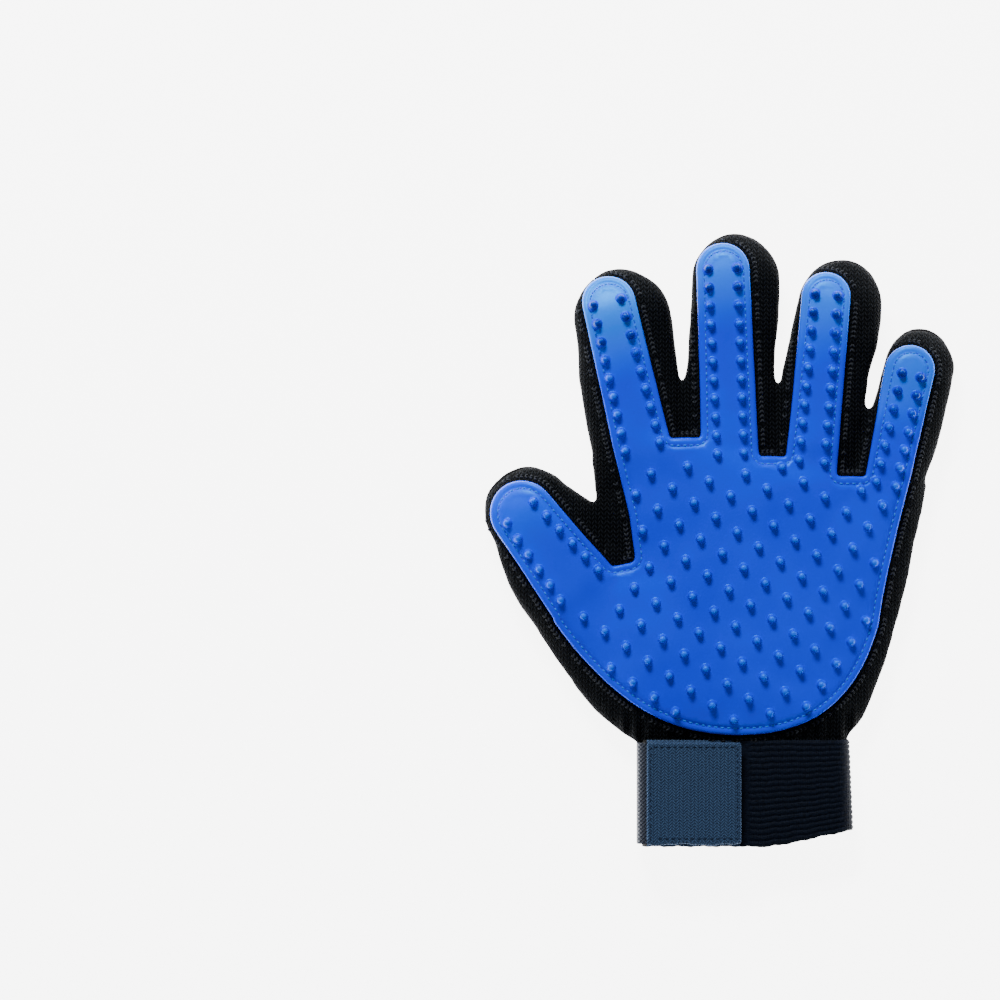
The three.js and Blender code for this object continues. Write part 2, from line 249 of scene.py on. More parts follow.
def join(verts, faces, more_verts, more_faces):
    """Adds one shape to another."""
    faces += [[i + len(verts) for i in face] for face in more_faces]
    verts += more_verts


def relax(co, pairs, rounds, factor):
    """Moves every point towards the mean of its neighbours."""
    degree = np.bincount(pairs.ravel(), minlength=len(co))[:, None].astype(float)
    for _ in range(rounds):
        total = np.zeros_like(co)
        np.add.at(total, pairs[:, 0], co[pairs[:, 1]])
        np.add.at(total, pairs[:, 1], co[pairs[:, 0]])
        co = co + factor * (total / np.maximum(degree, 1) - co)
    return co


def read_points(mesh):
    co = np.empty(len(mesh.vertices) * 3)
    mesh.vertices.foreach_get("co", co)
    return co.reshape(-1, 3)


def read_pairs(mesh):
    pairs = np.empty(len(mesh.edges) * 2, dtype=int)
    mesh.edges.foreach_get("vertices", pairs)
    return pairs.reshape(-1, 2)


# ---- The black fabric shell: lofted tubes, melted together, then cut where it bends ----
SECTION = superellipse(40, 2.35, 3.2)
VOXEL = 1.0


def section_ring(left, right, low, high, lift):
    """A vertical section between two points of the plan."""
    middle, half = (left + right) / 2, (right - left) / 2
    z_mid, z_half = (low + high) / 2, (high - low) / 2
    return [(*(middle + half * x), z_mid + z_half * z + lift * max(z, 0) * (1 - x * x)) for x, z in SECTION]


def finger_tube(finger):
    """Sections along a finger, from inside the palm to the tip, where the top comes down."""
    _, y0, radius = finger.sleeve
    turns = np.sin(np.linspace(0, 1, 14) * math.pi * 0.496)
    stretch = 1 + finger.grow[2] / radius
    stations = [*np.arange(-14, y0, 2.5), *(y0 + radius * turns)]
    verts = []
    for y in stations:
        left, right = finger.edges(max(y, 0.0))
        over = np.clip((y - y0 + 4.0) / (radius + 4.0), 0, 1)
        sink = 0.8 if y < 0 else 0.0
        reach = y if y < y0 else y0 + (y - y0) * stretch
        a = finger.to_glove(left + finger.slack(0, y), reach)
        b = finger.to_glove(right - finger.slack(1, y), reach)
        verts += section_ring(a, b, 1.6 * over**3 + sink, SHELL_TOP * (1 - 0.62 * over**2.6) - sink, 0.0)
    return verts, ring_faces(len(stations), len(SECTION))


def palm_tube():
    """Level sections from inside the cuff up to the webs between the fingers."""
    heel = bezier((-39.4, 44.6), (-49.3, 51.5), (-61.9, 70.5), (-69.4, 81.9), 12)
    left = np.array([(-29.6, 34), (-30.6, 38.6), (-33.2, 40.4), (-36.4, 42.2), *heel, (-55.0, 92.0),
                     (-42.0, 104.0), (-41.6, 112), (-46.3, 127.6), (-48.4, 147.0), (-44, 152), (-30, 158)])
    side = bezier((50.8, 44.0), (59.6, 54.0), (67.4, 80.5), (78.6, 136.8), 12)
    right = np.array([(48.4, 34), (49.0, 41.8), *side, (70, 139.4), (49.3, 141.0), (19.4, 148.5),
                      (-13.2, 156.0)])
    stations = np.arange(34.0, 155.5, 2.0)
    verts = []
    for y in stations:
        a, b = (on_glove((np.interp(y, edge[:, 1], edge[:, 0]), y)) for edge in (left, right))
        wrist = np.clip((56 - y) / 18, 0, 1)
        verts += section_ring(a, b, 2.6 * wrist**2, SHELL_TOP - 3.6 * wrist**1.5, 0.9)
    return verts, ring_faces(len(stations), len(SECTION))


# The noise would otherwise be a new one in every run.
WAVE_SEED = 3


def fabric_waves(co):
    """Soft unevenness of the stuffed fabric, and the gathers where it is sewn into the cuff."""
    noise.seed_set(WAVE_SEED)
    offsets = np.zeros_like(co)
    for i, point in enumerate(co):
        place = Vector(point)
        offsets[i] = (np.array(noise.noise_vector(place / 17.0)) * 0.55
                      + np.array(noise.noise_vector(place / 6.0)) * 0.22)
    x, y = co[:, 0], co[:, 1] - ORIGIN[1]
    near = np.exp(-((y - PALM_BOTTOM - 3) / 6.0) ** 2)
    gather = near * 0.75 * np.sin(x * 1.15 + 0.8 * np.sin(x * 0.37))
    offsets[:, 2] += np.where(co[:, 2] > SHELL_MID, gather, -0.2 * gather)
    return offsets


def melted_shell():
    """The palm's and the fingers' tubes as one smooth, slightly uneven skin."""
    verts, faces = [], []
    for tube in [palm_tube(), *(finger_tube(finger) for finger in FINGER.values())]:
        join(verts, faces, *tube)
    obj = add_object("shell_blank", make_mesh("shell_blank", np.array(verts) * MM, faces))
    remesh = obj.modifiers.new("melt", "REMESH")
    remesh.mode = "VOXEL"
    remesh.voxel_size = VOXEL * MM
    mesh = bpy.data.meshes.new_from_object(obj.evaluated_get(bpy.context.evaluated_depsgraph_get()))
    bpy.data.objects.remove(obj)
    co = relax(read_points(mesh) / MM, read_pairs(mesh), 10, 0.5)
    co += fabric_waves(co)
    co[:, 2] = np.maximum(co[:, 2], 0.02)
    mesh.vertices.foreach_set("co", (co * MM).ravel())
    mesh.update()
    return mesh


def cut(bm, point, normal, near=None):
    """Cuts the faces that near() picks along a plane, and keeps both sides."""
    faces = [f for f in bm.faces if near is None or near(f.calc_center_median())]
    edges = {e for f in faces for e in f.edges}
    verts = {v for f in faces for v in f.verts}
    bmesh.ops.bisect_plane(bm, geom=[*verts, *edges, *faces], dist=1e-7, plane_co=point, plane_no=normal)


def right_of_web(web, point):
    """Distance to the right of a web's seam, looking from its root to its crotch."""
    root, _, _, across = WEB_FRAMES[web]
    return (point - root).dot(across)


def region_of(point):
    """The piece of the glove that a point lies on: palm, or a finger's root or end part."""
    for name, finger in FINGER.items():
        x, y = finger.to_finger((point.x / MM, point.y / MM))
        if y < -BLEND_BEFORE or y > FINGER_REACH:
            continue
        low, high = finger.edges(np.clip(y, 0, finger.sleeve[1]))
        left, right = finger.webs
        too_left = right_of_web(left, point) < 0 if left else x < low - FREE_REACH
        too_right = right_of_web(right, point) > 0 if right else x > high + FREE_REACH
        if not too_left and not too_right:
            return f"{name}_root" if y < finger.bend - BLEND_BEFORE else f"{name}_end"
    return "palm"


# Fewest faces of a piece's own patch, and fewest points round the open end of a web that gets a wall.
ISLAND, CAP_POINTS = 40, 16
# Half width of the fabric strip between palm and thumb, half width of an inner part of it, and where it
# begins along the thumb.
WEB_STRIP, WEB_STRETCH, WEB_STRIP_ROOT = 6.0, 4.8, 4.0
# Half width, and reach past the crotch, of the strip beside each piece of the glove that it joins.
STRIP_REACH = {"palm": (WEB_STRIP, 30.0), "thumb_root": (WEB_STRIP, 30.0), "thumb_end": (4.6, 8.0)}


def shell_region(point):
    """As region_of, with the strip between palm and thumb as a piece of its own."""
    root, length, along, across = WEB_FRAMES["thumb"]
    away = point - root
    on_thumb = FINGER["thumb"].to_finger((point.x / MM, point.y / MM))[1]
    region = region_of(point)
    width, reach = STRIP_REACH.get(region, (0.0, 0.0))
    beside, beyond = abs(away.dot(across)) / MM, (away.dot(along) - length) / MM
    if beside < width and beyond < reach and on_thumb > WEB_STRIP_ROOT:
        return "thumb_web"
    return region


def cut_at_bends(bm):
    """Cuts a skin along every bending line and every web, so that its pieces have straight edges."""
    for finger in FINGER.values():
        for y in (-BLEND_BEFORE, finger.bend - BLEND_BEFORE):
            low, high = finger.edges(max(y, 0.0))

            def near_bend(point):
                x, along = finger.to_finger((point.x / MM, point.y / MM))
                return abs(along - y) < 4 and low - 7 < x < high + 7
            cut(bm, plan_vector(finger.to_glove(0, y)), Vector((*finger.along, 0)), near_bend)
    for root, length, along, across in WEB_FRAMES.values():
        def near_web(point):
            away = point - root
            return abs(away.dot(across)) < 0.006 and -0.016 < away.dot(along) < length + 0.012
        cut(bm, root, across, near_web)


def settle_islands(bm, key):
    """Every face's key, with a patch smaller than ISLAND faces taken over by the piece around it."""
    keys = {face: key(face) for face in bm.faces}
    left = set(bm.faces)
    for seed in bm.faces:
        if seed not in left:
            continue
        left.discard(seed)
        patch, border, queue = [], [], [seed]
        while queue:
            face = queue.pop()
            patch.append(face)
            for near in (other for edge in face.edges for other in edge.link_faces if other is not face):
                if keys[near] != keys[seed]:
                    border.append(keys[near])
                elif near in left:
                    left.discard(near)
                    queue.append(near)
        if len(patch) < ISLAND and border:
            around = max(sorted(set(border)), key=border.count)
            keys.update((face, around) for face in patch)
    return keys


def split_regions(bm, key):
    """Groups the faces by key(face), with every vertex's smooth normal kept for shading."""
    bm.normal_update()
    groups = {}
    for face in bm.faces:
        groups.setdefault(key(face), []).append(face)
    pieces = {}
    for name, faces in groups.items():
        verts = list(dict.fromkeys(v for face in faces for v in face.verts))
        index = {v: i for i, v in enumerate(verts)}
        polys = [[index[v] for v in face.verts] for face in faces]
        pieces[name] = ([v.co.copy() for v in verts], [v.normal.copy() for v in verts], polys)
    return pieces


def finish_piece(name, verts, polys, normals, material, slot, cad_nodes):
    """A named mesh with smooth shading and rest coordinates for its textures, which hides the CAD parts it
    replaces.
    """
    mesh = make_mesh(name, verts, polys)
    mesh.shade_smooth()
    if normals is not None:
        mesh.normals_split_custom_set_from_vertices([tuple(n) for n in normals])
    rest = mesh.attributes.new("rest", "FLOAT_VECTOR", "POINT")
    rest.data.foreach_set("vector", np.array([tuple(v) for v in verts], dtype=np.float32).ravel())
    obj = add_object(name, mesh)
    mesh.materials.append(material)
    if cad_nodes:
        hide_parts(*cad_nodes)
    return obj


def follow(obj, region):
    """Rides a palm piece on the palm, and bakes any other piece in place where it stands."""
    if region == "palm":
        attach(obj, "palm")
        return
    if region == "thumb_web":
        root, _, _, across = WEB_FRAMES["thumb"]
        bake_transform(obj)
        return
    name, part = region.split("_")
    finger = FINGER[name]
    y = 0.0 if part == "root" else finger.bend
    start = plan_vector(finger.to_glove(0, y - BLEND_BEFORE))
    end = plan_vector(finger.to_glove(0, y + BLEND_AFTER))
    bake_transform(obj)


def finish_regions(bags, ending, material, slot):
    """One small-parts piece per region, from the vertices and faces gathered for it."""
    for region, (verts, faces) in bags.items():
        follow(finish_piece(f"{region}_{ending}", verts, faces, None, material, slot, []), region)


# ---- Materials ----
# The dark and the pale colour between which each surface's pattern runs.
TONES = {
    "knit": ((0.0008, 0.0011, 0.0016), (0.0100, 0.0128, 0.0175)),
    "mesh": ((0.001, 0.001, 0.0012), (0.014, 0.014, 0.015)),
    "rubber": ((0.0, 0.019, 0.86), (0.0, 0.029, 0.96)),
    "elastic": ((0.0008, 0.0016, 0.0040), (0.0045, 0.0080, 0.0185)),
    "loop": ((0.008, 0.022, 0.060), (0.034, 0.080, 0.170)),
    "webbing": ((0.004, 0.007, 0.016), (0.012, 0.021, 0.045)),
    "hook": ((0.003, 0.003, 0.004), (0.018, 0.018, 0.020)),
}
# Painted highlight: the paler blue painted on the fingertips and nub tops stands in for the light they
# reflect. Painted shade: the dark blue painted at the foot and on the sides of a nub.
PAINTED_HIGHLIGHT_BLUE, NUB_SHADE = (0.0, 0.2, 1.0), (0.0, 0.004, 0.2)
THREAD_SHADE = 0.55


class Nodes:
    """Short calls for a material's node tree."""

    def __init__(self, name, color, roughness, **sockets):
        self.material = bpy.data.materials.new(name)
        self.material.use_nodes = True
        self.tree = self.material.node_tree
        self.shader = self.tree.nodes["Principled BSDF"]
        self.shader.inputs["Base Color"].default_value = (*color, 1)
        self.shader.inputs["Roughness"].default_value = roughness
        for socket, value in sockets.items():
            self.shader.inputs[socket.replace("_", " ")].default_value = value

    def add(self, kind, inputs=None, **properties):
        node = self.tree.nodes.new(kind)
        for key, value in properties.items():
            setattr(node, key, value)
        for key, value in (inputs or {}).items():
            self.feed(node.inputs[key], value)
        return node

    def feed(self, socket, value):
        if isinstance(value, bpy.types.NodeSocket):
            self.tree.links.new(value, socket)
        else:
            socket.default_value = value

    def math(self, operation, *values):
        return self.add("ShaderNodeMath", dict(enumerate(values)), operation=operation).outputs[0]

    def plus(self, a, b):
        return self.math("ADD", a, b)

    def times(self, a, b):
        return self.math("MULTIPLY", a, b)

    def wave(self, value):
        return self.math("SINE", value)

    def rest(self, scale=(1000, 1000, 1000)):
        """Rest position in millimetres, times a scale."""
        place = self.add("ShaderNodeAttribute", attribute_name="rest")
        return self.add("ShaderNodeVectorMath", {0: place.outputs["Vector"], 1: scale},
                        operation="MULTIPLY").outputs[0]

    def attribute(self, name):
        return self.add("ShaderNodeAttribute", attribute_name=name).outputs["Fac"]

    def noise(self, vector, scale, detail=3.0):
        inputs = {"Vector": vector, "Scale": scale, "Detail": detail}
        return self.add("ShaderNodeTexNoise", inputs).outputs["Fac"]

    def cells(self, vector, scale, randomness):
        inputs = {"Vector": vector, "Scale": scale, "Randomness": randomness}
        return self.add("ShaderNodeTexVoronoi", inputs).outputs["Distance"]

    def ramp(self, value, low, high, start=0.0, end=1.0):
        inputs = {"Value": value, "From Min": start, "From Max": end, "To Min": low, "To Max": high}
        return self.add("ShaderNodeMapRange", inputs).outputs["Result"]

    def mix(self, factor, a, b):
        a, b = ((*color, 1) if isinstance(color, tuple) else color for color in (a, b))
        return self.add("ShaderNodeMix", {"Factor": factor, 6: a, 7: b}, data_type="RGBA").outputs[2]

    def color(self, value):
        self.feed(self.shader.inputs["Base Color"], value)

    def paint(self, value, start, end, dark, pale):
        """Runs the colour from dark to pale as the value runs from start to end."""
        self.color(self.mix(self.ramp(value, 0, 1, start, end), dark, pale))

    def bump(self, height, distance, strength=1.0):
        node = self.add("ShaderNodeBump", {"Height": height, "Distance": distance, "Strength": strength})
        self.feed(self.shader.inputs["Normal"], node.outputs["Normal"])

    def split(self, vector):
        return self.add("ShaderNodeSeparateXYZ", {0: vector}).outputs


def knit_height(nodes, column, row, slant=0.9):
    """Chains of V stitches: columns run along y."""
    x, y, _ = nodes.split(nodes.rest())
    across = nodes.math("FRACT", nodes.math("DIVIDE", x, column))
    arm = nodes.times(nodes.math("ABSOLUTE", nodes.math("SUBTRACT", across, 0.5)), 2.0)
    slanted = nodes.math("FRACT", nodes.plus(nodes.math("DIVIDE", y, row), nodes.times(arm, slant)))
    leg, width = (nodes.wave(nodes.times(value, math.pi)) for value in (slanted, arm))
    return nodes.times(leg, nodes.math("POWER", width, 0.5))


def knit_material():
    nodes = Nodes("black_knit", (0.005, 0.005, 0.005), 0.8, Specular_IOR_Level=0.05)
    stitch = knit_height(nodes, 2.3, 1.7)
    grain = nodes.noise(nodes.rest((1000, 600, 1000)), 0.9, 4.0)
    height = nodes.plus(nodes.times(stitch, 0.8), nodes.times(grain, 0.6))
    nodes.bump(height, 0.0007)
    nodes.paint(height, 0.55, 1.25, *TONES["knit"])
    return nodes.material


def mesh_material():
    """Air mesh: round holes on a triangular lattice, which runs on up the glove's steep sides."""
    nodes = Nodes("black_air_mesh", (0.006, 0.006, 0.006), 0.7, Specular_IOR_Level=0.2)
    x, y, z = nodes.split(nodes.rest())
    y = nodes.plus(y, nodes.times(z, 0.8))
    skewed = nodes.add("ShaderNodeCombineXYZ", {0: nodes.plus(x, nodes.times(y, 0.5)),
                                                1: nodes.times(y, 0.866)})
    hole = nodes.ramp(nodes.cells(skewed.outputs[0], 0.42, 0.0), 0, 1, 0.26, 0.44)
    grain = nodes.noise(nodes.rest(), 2.2)
    nodes.bump(nodes.plus(hole, nodes.times(grain, 0.25)), 0.0006)
    nodes.color(nodes.mix(hole, *TONES["mesh"]))
    return nodes.material


def rubber_material():
    nodes = Nodes("blue_rubber", (0.0, 0.032, 0.92), 0.32, Specular_IOR_Level=0.6,
                  Specular_Tint=(0.01, 0.5, 1.0, 1))
    cloud, fine = nodes.noise(nodes.rest(), 0.035, 2.0), nodes.noise(nodes.rest(), 1.6, 4.0)
    body = nodes.mix(nodes.ramp(cloud, 0, 1, 0.35, 0.65), *TONES["rubber"])
    # Painted highlight: paler blue on the fingertips and on the nubs' tops.
    highlighted = nodes.mix(nodes.attribute("painted_highlight"), body, PAINTED_HIGHLIGHT_BLUE)
    # Painted shade: darker blue on the nubs' sides, and over whole nubs on the pale tips.
    nodes.color(nodes.mix(nodes.attribute("painted_shade"), highlighted, NUB_SHADE))
    nodes.feed(nodes.shader.inputs["Roughness"], nodes.ramp(fine, 0.32, 0.42, 0.3, 0.7))
    nodes.bump(fine, 0.00006, 0.6)
    return nodes.material


def elastic_material():
    nodes = Nodes("ribbed_elastic", (0.003, 0.004, 0.007), 0.62, Specular_IOR_Level=0.05)
    threads = nodes.wave(nodes.times(nodes.split(nodes.rest())[0], 7.5))
    grain = nodes.noise(nodes.rest((600, 1800, 1000)), 1.4)
    nodes.bump(nodes.plus(nodes.times(threads, 0.3), grain), 0.00018, 0.8)
    nodes.paint(grain, 0.3, 0.7, *TONES["elastic"])
    return nodes.material


def loop_material():
    """Brushed loop pile: upright ribs of tiny V loops."""
    nodes = Nodes("navy_loop", (0.018, 0.046, 0.115), 0.85, Specular_IOR_Level=0.25, Sheen_Weight=0.35,
                  Sheen_Roughness=0.45, Sheen_Tint=(0.35, 0.5, 0.75, 1))
    stitch = knit_height(nodes, 2.8, 1.15, 1.3)
    height = nodes.plus(nodes.times(stitch, 0.7), nodes.noise(nodes.rest(), 1.9, 5.0))
    nodes.bump(height, 0.0006, 0.9)
    nodes.paint(height, 0.5, 1.25, *TONES["loop"])
    return nodes.material


def webbing_material():
    nodes = Nodes("navy_webbing", (0.007, 0.012, 0.028), 0.7, Specular_IOR_Level=0.3, Sheen_Weight=0.15)
    weft, warp, _ = nodes.split(nodes.rest())
    height = nodes.times(*(nodes.wave(nodes.times(place, 4.2)) for place in (warp, weft)))
    nodes.bump(height, 0.00025, 0.8)
    nodes.paint(height, -1, 1, *TONES["webbing"])
    return nodes.material


def hook_material():
    nodes = Nodes("hook_tape", (0.006, 0.006, 0.007), 0.45)
    spot = nodes.ramp(nodes.cells(nodes.rest(), 0.9, 0.15), 1, 0, 0.1, 0.35)
    nodes.bump(spot, 0.0006)
    nodes.color(nodes.mix(spot, *TONES["hook"]))
    return nodes.material


def thread_material(name, color):
    nodes = Nodes(name, color, 0.7, Specular_IOR_Level=0.12)
    twist = nodes.noise(nodes.rest(), 5.0, 2.0)
    nodes.bump(twist, 0.00015, 0.7)
    nodes.paint(twist, 0.35, 0.65, tuple(THREAD_SHADE * value for value in color), color)
    return nodes.material


KNIT, MESH, RUBBER_BLUE, ELASTIC = knit_material(), mesh_material(), rubber_material(), elastic_material()
LOOP, WEBBING, HOOK = loop_material(), webbing_material(), hook_material()
SEAM_THREAD = thread_material("black_thread", (0.012, 0.012, 0.013))
LOOP_THREAD = thread_material("knit_loops", (0.024, 0.028, 0.036))
THREAD = thread_material("blue_thread", (0.02, 0.22, 1.0))
TAB_THREAD = thread_material("navy_thread", (0.010, 0.024, 0.060))
# The needle holes' dark blue is painted shade of holes that have no depth.
PAINTED_HOLE_SHADE = Nodes("needle_hole", (0.0, 0.014, 0.5), 0.8).material


# ---- The rubber panel's sheet ----
# The slots between the fingers: points with the radius that rounds each.
SLOTS = {
    "thumb": [((-41.0, 105.2), 2.2), ((-31.5, 107.2), 2.6), ((-33.6, 124.0), 0)],
    "index": [((-19.0, 153.2), 1.8), ((-7.0, 153.4), 1.8)],
    "middle": [((14.2, 146.4), 1.8), ((25.0, 146.4), 1.8)],
    "ring": [((43.4, 139.0), 1.8), ((54.7, 139.0), 1.8)],
}
# How much shorter the rubber's round ends are than the stitched length, and the outline's steps.
END_SHORT, OUTLINE_STEP = 0.7, 1.15
# Inset from the edge and height over the fabric, from the foot of the edge to the flat middle.
LIP = [(0.0, -0.25), (-0.02, 0.9), (0.12, 1.45), (0.45, 1.85), (0.95, 2.0), (1.5, 1.98), (2.1, 1.86),
       (2.5, 1.62), (2.9, 1.52), (3.3, 1.62), (3.7, RUBBER)]
GRID = 1.35


def fillet(before, corner, after, radius, steps=6):
    """A rounded corner between two straight runs."""
    to_before, to_after = unit(before - corner), unit(after - corner)
    reach = radius / math.tan(math.acos(np.clip(to_before @ to_after, -1, 1)) / 2)
    a, b = corner + to_before * reach, corner + to_after * reach
    t = np.linspace(0, 1, steps + 1)[:, None]
    return list((1 - t) ** 2 * a + 2 * (1 - t) * t * corner + t**2 * b)


def round_path(corners):
    """A closed path from (point, radius) corners."""
    path = []
    for i, (corner, radius) in enumerate(corners):
        if radius:
            path += fillet(corners[i - 1][0], corner, corners[(i + 1) % len(corners)][0], radius)
        else:
            path.append(corner)
    return np.array(path)


def resample(path, step):
    """Evenly spaced points round a closed path."""
    closed = np.vstack([path, path[:1]])
    lengths = np.linalg.norm(np.diff(closed, axis=0), axis=1)
    total = np.concatenate([[0], np.cumsum(lengths)])
    places = np.linspace(0, total[-1], int(total[-1] / step) + 1)[:-1]
    return np.column_stack([np.interp(places, total, closed[:, k]) for k in (0, 1)])


def right_normals(path):
    """Unit normals to the right of a closed path, which is inward where it runs clockwise."""
    along = np.roll(path, -1, axis=0) - np.roll(path, 1, axis=0)
    along /= np.linalg.norm(along, axis=1)[:, None]
    return np.column_stack([along[:, 1], -along[:, 0]])


def panel_outline():
    """The rubber's edge, clockwise: thumb, slots and fingers in turn, and back round the heel."""
    corners = []
    for name, finger in FINGER.items():
        middle, radius, length = finger.end
        side = [] if finger.rubber_side is None else [(finger.to_glove(finger.rubber_side, 0), 0)]
        corners += side if name != "little" else []
        for angle in np.linspace(math.pi, 0, 17):
            x, y = middle + radius * math.cos(angle), length - END_SHORT + radius * math.sin(angle)
            corners.append((finger.to_glove(x, y), 0))
        corners += side if name == "little" else []
        corners += [(on_glove(point), r) for point, r in SLOTS.get(name, [])]
    heel = [*bezier((70.6, 135.6), (67.0, 122.0), (61.6, 101.0), (59.4, 84.0), 6)[1:-1],
            *bezier((59.4, 84.0), (53.2, 61.0), (40.0, 42.5), (7.0, 42.5), 16)[:-1],
            *bezier((7.0, 42.5), (-21.0, 42.5), (-41.2, 55.6), (-62.2, 84.9), 16)]
    corners += [(on_glove(point), 0) for point in heel]
    return resample(round_path(corners), OUTLINE_STEP)


def inside_path(points, path):
    """Which points lie inside a closed path."""
    inside = np.zeros(len(points), bool)
    for (ax, ay), (bx, by) in zip(path, np.roll(path, -1, axis=0)):
        if ay == by:
            continue
        spans = (ay > points[:, 1]) != (by > points[:, 1])
        inside ^= spans & (points[:, 0] < ax + (points[:, 1] - ay) * (bx - ax) / (by - ay))
    return inside


def distance_to_path(points, path):
    best = np.full(len(points), np.inf)
    for x, y in path:
        best = np.minimum(best, np.hypot(points[:, 0] - x, points[:, 1] - y))
    return best


def surface_normals(co, faces):
    """Smooth upward normals of a surface that never folds over in plan."""
    normals = np.zeros_like(co)
    for face in faces:
        a, b, c = co[face[0]], co[face[1]], co[face[2]]
        n = np.cross(b - a, c - a)
        n = -n if n[2] < 0 else n
        for i in face:
            normals[i] += n
    return normals / np.maximum(np.linalg.norm(normals, axis=1), 1e-12)[:, None]


# A height above the whole glove, from which rays are cast down, and one inside it, for points beside it.
SKY, INSIDE = 60, 7


def drop_on(tree, xy):
    """The point and normal of a surface under a plan point, or a pair of None."""
    hit, normal, *_ = tree.ray_cast(plan_vector(xy, SKY), Vector((0, 0, -1)))
    return (None, None) if hit is None else (np.array(hit), np.array(normal))


def drape(points, tree):
    """Height of the shell under each plan point, in millimetres."""
    heights = np.empty(len(points))
    for i, point in enumerate(points):
        hit, _ = drop_on(tree, point)
        if hit is None:
            hit = tree.find_nearest(plan_vector(point, INSIDE))[0]
        heights[i] = hit[2] / MM
    return heights


def panel_layout():
    """Plan points, lip heights and faces of the panel's upper side."""
    outline = panel_outline()
    normals, count = right_normals(outline), len(outline)
    loops = [outline + normals * inset for inset, _ in LIP]
    faces = ring_faces(len(LIP), count, capped=False)
    inner = loops[-1]
    low, high = inner.min(axis=0), inner.max(axis=0)
    xs, ys = np.arange(low[0], high[0], GRID), np.arange(low[1], high[1], GRID * 0.866)
    grid = np.array([(x + (GRID / 2 if row % 2 else 0), y) for row, y in enumerate(ys) for x in xs])
    grid = grid[inside_path(grid, inner)]
    grid = grid[distance_to_path(grid, inner) > GRID * 0.6]
    edges = [(j, (j + 1) % count) for j in range(count)]
    made, _, triangles, *_ = delaunay_2d_cdt([Vector(p) for p in (*inner, *grid)], edges, [], 1, 1e-6)
    start = (len(LIP) - 1) * count
    plan = np.vstack([*loops[:-1], np.array([tuple(p) for p in made])])
    faces += [[start + i for i in triangle] for triangle in triangles]
    heights = np.full(len(plan), RUBBER)
    heights[:len(LIP) * count] = np.repeat([height for _, height in LIP], count)
    return plan, heights, faces, outline


def panel_surface(tree):
    """The rubber's upper side, draped over the shell: its points, its faces and its outline in plan."""
    plan, heights, faces, outline = panel_layout()
    base = np.column_stack([plan, drape(plan, tree)])
    pairs = np.array(sorted({tuple(sorted((f[i], f[i - 1]))) for f in faces for i in range(len(f))}))
    base[:, 2] = relax(base, pairs, 14, 0.5)[:, 2]
    return base + surface_normals(base, faces) * heights[:, None], faces, outline


# ---- Building the shell ----
# In metres: a cut's overrun before a web's root and past its crotch, and how near its plane a point counts.
CAP_BEFORE, CAP_AFTER, CAP_NEAR = 0.018, 0.014, 3e-5
# A run of seam shorter than this lies in a fold of a web, and shows no bead.
SHORT_SEAM = 14.0
SEAM_RADIUS, SEAM_STANDS = 0.75, 0.1
# Where the shell is cut off inside the cuff.
WRIST_CUT = 37.5


def nodes_of(region, words):
    """The CAD nodes of a region whose names hold one of the given words."""
    prefix = region.replace("_root", "_base").replace("_end", "_tip") + "_"
    return [name for name in frame["nodes"]
            if name.startswith(prefix) and any(word in name[len(prefix):] for word in words)]


def web_caps(verts, polys):
    """Flat walls that close a piece's sides where it was cut from its neighbour at a web."""
    uses = {}
    for poly in polys:
        for edge in zip(poly, poly[1:] + poly[:1]):
            uses[frozenset(edge)] = uses.get(frozenset(edge), 0) + 1
    open_edges = [tuple(edge) for edge, times in uses.items() if times == 1]
    caps = []
    for root, length, along, across in WEB_FRAMES.values():
        on_plane = set()
        for edge in open_edges:
            places = [verts[i] - root for i in edge]
            if all(abs(p.dot(across)) < CAP_NEAR and -CAP_BEFORE < p.dot(along) < length + CAP_AFTER
                   for p in places):
                on_plane.update(edge)
        if len(on_plane) < CAP_POINTS:
            continue
        flat = {i: ((verts[i] - root).dot(along), verts[i].z) for i in on_plane}
        middle = np.mean(list(flat.values()), axis=0)
        order = sorted(on_plane, key=lambda i: math.atan2(flat[i][1] - middle[1], flat[i][0] - middle[0]))
        centre = root + along * middle[0]
        caps.append([Vector((centre.x, centre.y, middle[1]))] + [verts[i].copy() for i in order])
    return caps


def build_shell():
    """The knit front and mesh back of every piece of the glove; returns the whole skin for casting rays."""
    mesh = melted_shell()
    bm = bmesh.new()
    bm.from_mesh(mesh)
    bpy.data.meshes.remove(mesh)
    cut_at_bends(bm)
    cut(bm, Vector((0, 0, BACK_SEAM * MM)), Vector((0, 0, 1)))
    wrist = (ORIGIN[1] + WRIST_CUT) * MM
    cut(bm, Vector((0, wrist, 0)), Vector((0, 1, 0)), lambda point: point.y < wrist + 0.004)
    bmesh.ops.delete(bm, geom=[f for f in bm.faces if f.calc_center_median().y < wrist], context="FACES")
    whole = split_regions(bm, lambda face: shell_region(face.calc_center_median()))
    caps = {region: web_caps(verts, polys) for region, (verts, _, polys) in whole.items()}

    def key(face):
        point = face.calc_center_median()
        return shell_region(point), point.z / MM > BACK_SEAM
    keys = settle_islands(bm, key)
    for (region, front), (verts, normals, polys) in split_regions(bm, keys.get).items():
        for cap in caps[region] if front else []:
            count = len(cap) - 1
            facing = (cap[2] - cap[0]).cross(cap[1] - cap[0]).normalized()
            join(verts, polys, cap, [[0, 1 + (i + 1) % count, 1 + i] for i in range(count)])
            normals += [facing] * len(cap)
        name, material, slot, words = (("front", KNIT, "knit", ("liner", "gusset")) if front
                                       else ("mesh", MESH, "mesh", ("back",)))
        replaced = nodes_of(region, words)
        follow(finish_piece(f"{region}_{name}", verts, polys, normals, material, slot, replaced), region)
    seam_beads(bm)
    tree = BVHTree.FromBMesh(bm)
    bm.free()
    return tree


